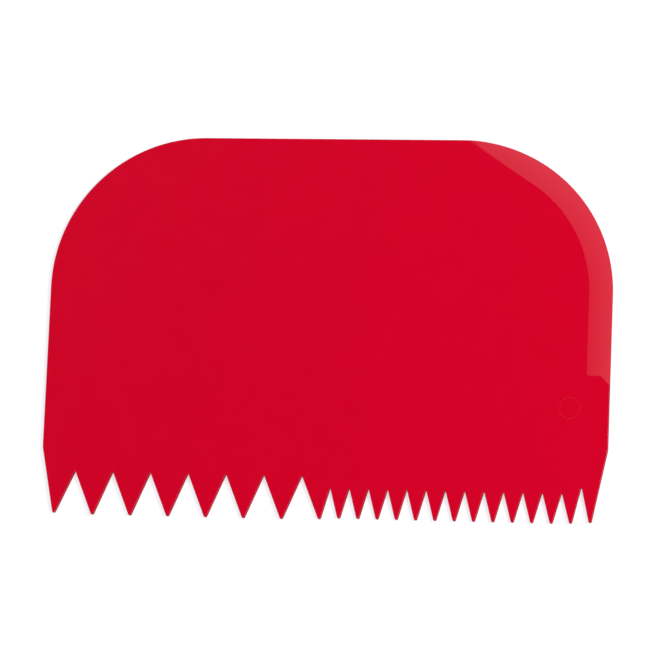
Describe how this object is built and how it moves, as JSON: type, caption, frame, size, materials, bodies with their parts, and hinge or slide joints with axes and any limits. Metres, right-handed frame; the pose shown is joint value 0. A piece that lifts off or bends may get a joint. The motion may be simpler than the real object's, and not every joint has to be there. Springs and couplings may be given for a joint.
{
  "type": "decorating scraper",
  "caption": "Flat plastic card with two large round corners, one of them bevelled, and a straight edge of pointed teeth, coarse on one half and fine on the other.",
  "frame": {"origin": "centre of the card's outline, on its underside", "axes": "+X along the row of teeth towards the fine ones, +Y away from the teeth, +Z out of the face with the bevel"},
  "size_m": [0.148, 0.1, 0.0016],
  "materials": {
    "red_plastic": "gloss"
  },
  "bodies": {
    "root": {"scraper_card": "red_plastic"}
  },
  "joints": []
}
